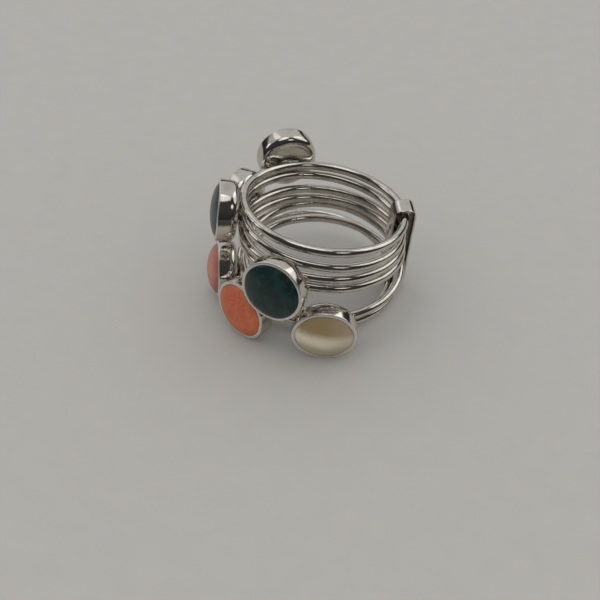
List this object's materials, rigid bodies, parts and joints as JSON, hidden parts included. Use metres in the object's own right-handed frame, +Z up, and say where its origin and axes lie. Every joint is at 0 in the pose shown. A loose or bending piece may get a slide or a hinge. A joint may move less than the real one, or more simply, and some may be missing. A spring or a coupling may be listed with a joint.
{
  "type": "stackable ring",
  "caption": "Finger ring of thin round wire bands fanned out from one folded clip, each band with a round domed stone in a plain cup.",
  "frame": {"origin": "on the surface the ring lies on, under the middle of its box", "axes": "+Z up, along the finger; +X from the middle of the ring towards the clip; +Y towards the back of the ring, away from the two large front stones"},
  "size_m": [0.0252, 0.0262, 0.0172],
  "materials": {
    "silver": "polished silver, dark in the corners and round the solder",
    "stone_1_black": "polished cabochon",
    "stone_2_slate": "polished cabochon",
    "stone_3_grey": "polished cabochon",
    "stone_4_green": "polished cabochon",
    "stone_5_pearl": "polished cabochon",
    "stone_6_orange": "polished cabochon",
    "stone_7_coral": "polished cabochon"
  },
  "bodies": {
    "clip": {"clip": "silver"},
    "band_1": {"band_1": "silver", "stone_1_black": "stone_1_black"},
    "band_2": {"band_2": "silver", "stone_2_slate": "stone_2_slate"},
    "band_3": {"band_3": "silver", "stone_3_grey": "stone_3_grey"},
    "band_4": {"band_4": "silver", "stone_4_green": "stone_4_green"},
    "band_5": {"band_5": "silver", "stone_5_pearl": "stone_5_pearl"},
    "band_6": {"band_6": "silver", "stone_6_orange": "stone_6_orange"},
    "band_7": {"band_7": "silver", "stone_7_coral": "stone_7_coral"}
  },
  "joints": [
    {"name": "band_1_swing", "type": "hinge", "parent": "clip", "child": "band_1", "pos_m": [0.0111, 0.00092, 0.01193], "axis": [-0.0857, 0.9956, -0.0384], "range_deg": [-0.3, 12]},
    {"name": "band_2_swing", "type": "hinge", "parent": "clip", "child": "band_2", "pos_m": [0.01083, 0.00124, 0.01032], "axis": [-0.142, 0.9899, 0.0042], "range_deg": [-0.8, 0.3]},
    {"name": "band_3_swing", "type": "hinge", "parent": "clip", "child": "band_3", "pos_m": [0.01078, 0.00151, 0.00899], "axis": [-0.1855, 0.9825, -0.0148], "range_deg": [-0.1, 0.8]},
    {"name": "band_4_swing", "type": "hinge", "parent": "clip", "child": "band_4", "pos_m": [0.01072, 0.00176, 0.00773], "axis": [-0.2227, 0.9748, -0.0106], "range_deg": [-0.3, 0.1]},
    {"name": "band_5_swing", "type": "hinge", "parent": "clip", "child": "band_5", "pos_m": [0.01091, 0.00228, 0.00515], "axis": [-0.195, 0.9637, 0.1825], "range_deg": [-0.15, 0.3]},
    {"name": "band_6_swing", "type": "hinge", "parent": "clip", "child": "band_6", "pos_m": [0.01061, 0.00261, 0.00346], "axis": [-0.2108, 0.9716, 0.1072], "range_deg": [-0.15, 0.15]},
    {"name": "band_7_swing", "type": "hinge", "parent": "clip", "child": "band_7", "pos_m": [0.01031, 0.00304, 0.00131], "axis": [0.0266, 0.9913, 0.129], "range_deg": [-6, 0.15]}
  ]
}
